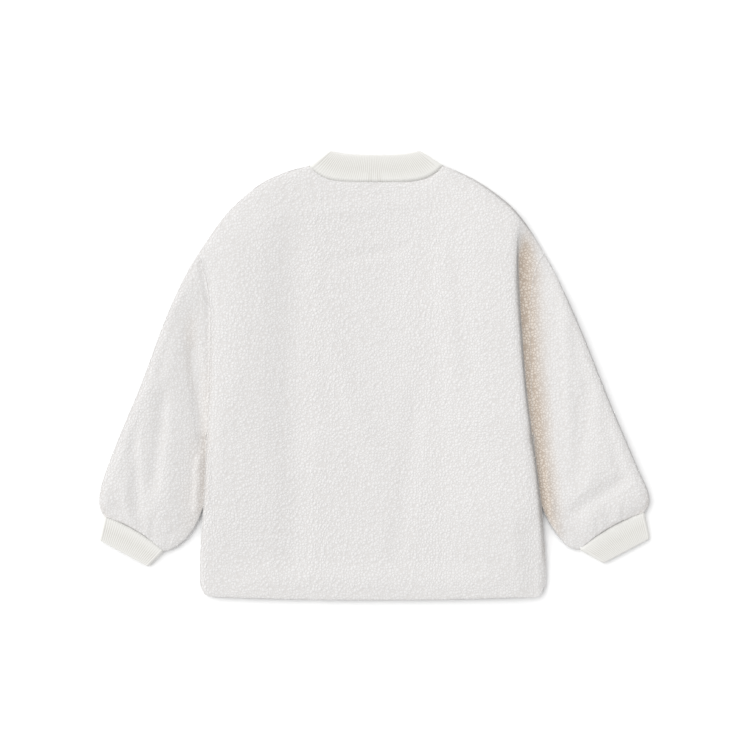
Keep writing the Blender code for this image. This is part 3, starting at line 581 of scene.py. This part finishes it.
LEFT_UNDERSLEEVE_CREASES = (
    (-288, 60, -312, -70, 1.2, 15, 50),
    (-340, -20, -356, -120, 0.9, 13, 40),
    (-366, -170, -356, -226, 1.2, 8, 20),
    (-330, -190, -330, -244, 1.3, 8, 22),
    (-396, -180, -386, -212, 0.9, 7, 16),
)
RIGHT_UNDERSLEEVE_CREASES = (
    (280, 70, 306, -60, 1.1, 16, 50),
    (336, -30, 350, -110, 1.0, 13, 40),
    (360, -176, 358, -224, 1.1, 8, 20),
    (326, -186, 332, -240, 1.4, 8, 22),
    (392, -176, 386, -206, 0.8, 7, 16),
)
left_sleeve = sherpa_panel(
    "left_sleeve", "sleeve_left", LEFT_SLEEVE_CREASES, LEFT_UNDERSLEEVE_CREASES
)
right_sleeve = sherpa_panel(
    "right_sleeve", "sleeve_right", RIGHT_SLEEVE_CREASES, RIGHT_UNDERSLEEVE_CREASES
)

# Cuffs
# Each is a tube of cotton rib, knitted one by one and folded double, so its ribs run round the
# fold at the wrist. It is sewn to the gathered end of the sleeve.
RIB_CROWN = (0.725, 0.718, 0.69)
# Painted shade: the colour down in the grooves between the ribs.
RIB_GROOVE_SHADE = (0.585, 0.57, 0.535)
RIB_PITCH = 3.5 * MM
COURSE = 1.3 * MM
YARN = 0.5 * MM
RIB_PATCH = 30 * MM
RIB_BUMP = 0.5 * MM
RIB_SHADE = 0.96
GROOVE_GAIN = 1.25
UNDER_RIB_BELOW = 4


def rib_material():
    """Knit with painted shade in its grooves, from its shape on the upper side and from stripes on the
    plain under side.
    """
    material, shader = new_material("rib knit", 0.85, 0.1)
    start = Wire(material.node_tree)
    place = start.node("ShaderNodeTexCoord", {}, output="Object")
    sunk = start.node("ShaderNodeAttribute", {}, output="Fac", attribute_name="sunk")
    course = start.node("ShaderNodeAttribute", {}, output="Fac", attribute_name="course")
    across = start.node("ShaderNodeAttribute", {}, output="Fac", attribute_name="across")
    under = start.node("ShaderNodeAttribute", {}, output="Fac", attribute_name="under")
    stripe = start.maths("SINE", across * (2 * math.pi / RIB_PITCH))
    groove = sunk * (1 - under) + (stripe * 0.5 + 0.5) * under
    stitch = start.maths("SINE", course * (2 * math.pi / COURSE))
    yarn = place.noise(YARN)
    patch = place.noise(RIB_PATCH)
    crown = patch.blend(RIB_CROWN, tuple(RIB_SHADE * c for c in RIB_CROWN))
    # The grooves between the ribs get painted shade.
    colour = groove.ramp(0.35, 0.95).blend(crown, RIB_GROOVE_SHADE)
    height = stitch * 0.3 + yarn * 0.4 - under * stripe * 0.6
    bump = start.node("ShaderNodeBump", {"Height": height, "Strength": 0.5, "Distance": RIB_BUMP})
    material.node_tree.links.new(colour.socket, shader.inputs["Base Color"])
    material.node_tree.links.new(bump.socket, shader.inputs["Normal"])
    return material


def rib_piece(name, node, down):
    """A rib piece, its ribs running down the given way in plan."""
    mesh = cloth[node]
    places = points_of(mesh)
    way = np.array(Vector(down).normalized())
    grooves = np.empty(len(places))
    mesh.attributes["groove"].data.foreach_get("value", grooves)
    # How sunk each place lies between the ribs, which sets how much painted shade it gets.
    set_attribute(mesh, "sunk", np.clip(0.5 + GROOVE_GAIN * grooves, 0, 1))
    set_attribute(mesh, "course", places[:, :2] @ way * MM)
    set_attribute(mesh, "across", places[:, :2] @ np.array((-way[1], way[0])) * MM)
    set_attribute(mesh, "under", places[:, 2] < UNDER_RIB_BELOW)
    return finished(name, mesh, rib, node)


rib = rib_material()
LEFT_WRIST = (-0.47, -0.88)
RIGHT_WRIST = (0.47, -0.88)
left_cuff = rib_piece("left_cuff", "cuff_left", LEFT_WRIST)
right_cuff = rib_piece("right_cuff", "cuff_right", RIGHT_WRIST)

# Collar
# A band of the same rib, folded double along its top edge and sewn to the neck. Its ends meet
# at the front.
collar = rib_piece("collar_band", "collar", (0, 1))

# Studs
# Five moulded resin caps down the lap of the right front, each pressed through the cloth into
# the other half of the fastener.
STUD_COLOUR = (0.78, 0.77, 0.74)
STUD_SHADE = 0.9
STUD_CLOUD = 4 * MM
STUD_SCUFF = 0.8 * MM


def stud_material():
    material, shader = new_material("resin", 0.35, 0.0)
    start = Wire(material.node_tree)
    place = start.node("ShaderNodeTexCoord", {}, output="Object")
    cloud = place.noise(STUD_CLOUD)
    colour = cloud.blend(STUD_COLOUR, tuple(STUD_SHADE * c for c in STUD_COLOUR))
    scuff = place.noise(STUD_SCUFF).ramp(0.3, 0.7, 0.3, 0.45)
    material.node_tree.links.new(colour.socket, shader.inputs["Base Color"])
    material.node_tree.links.new(scuff.socket, shader.inputs["Roughness"])
    return material


resin = stud_material()
for node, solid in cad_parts.items():
    if node.startswith("stud"):
        solid.data.materials.clear()
        solid.data.materials.append(resin)

# Studio
# The jacket lies on a plain white surface, lit softly from the upper left, with the camera
# straight above it.
FLOOR_SIZE = 8.0
FLOOR_WHITE = (0.96, 0.96, 0.96)
SKY = 0.79
SUN = 2.43
SUN_SPREAD = 80
SUN_TILT = 54
SUN_BEARING = 146
LENS = 100
SENSOR = 36
NEAREST_SEEN = 0.05
CAMERA_HEIGHT = 3.14
CAMERA_MIDDLE = (0.75 * MM, 1.05 * MM)

bpy.ops.mesh.primitive_plane_add(size=FLOOR_SIZE)
floor = bpy.context.object
floor.name = "floor"
paper, shader = new_material("paper", 0.95, 0.0)
shader.inputs["Base Color"].default_value = (*FLOOR_WHITE, 1)
floor.data.materials.append(paper)

world = bpy.data.worlds.new("studio")
bpy.context.scene.world = world
world.use_nodes = True
world.node_tree.nodes["Background"].inputs["Color"].default_value = (1, 1, 1, 1)
world.node_tree.nodes["Background"].inputs["Strength"].default_value = SKY

sun = bpy.data.objects.new("key light", bpy.data.lights.new("key light", "SUN"))
sun.data.energy = SUN
sun.data.angle = math.radians(SUN_SPREAD)
tilt = math.radians(SUN_TILT)
bearing = math.radians(SUN_BEARING)
level = math.sin(tilt)
towards = Vector((level * math.cos(bearing), level * math.sin(bearing), math.cos(tilt)))
sun.rotation_euler = towards.to_track_quat("Z", "Y").to_euler()
bpy.context.collection.objects.link(sun)

camera = bpy.data.objects.new("camera", bpy.data.cameras.new("camera"))
camera.data.lens = LENS
camera.data.sensor_width = SENSOR
camera.data.clip_start = NEAREST_SEEN
camera.location = (*CAMERA_MIDDLE, CAMERA_HEIGHT)
bpy.context.collection.objects.link(camera)
bpy.context.scene.camera = camera
bpy.context.scene.view_settings.view_transform = "Standard"
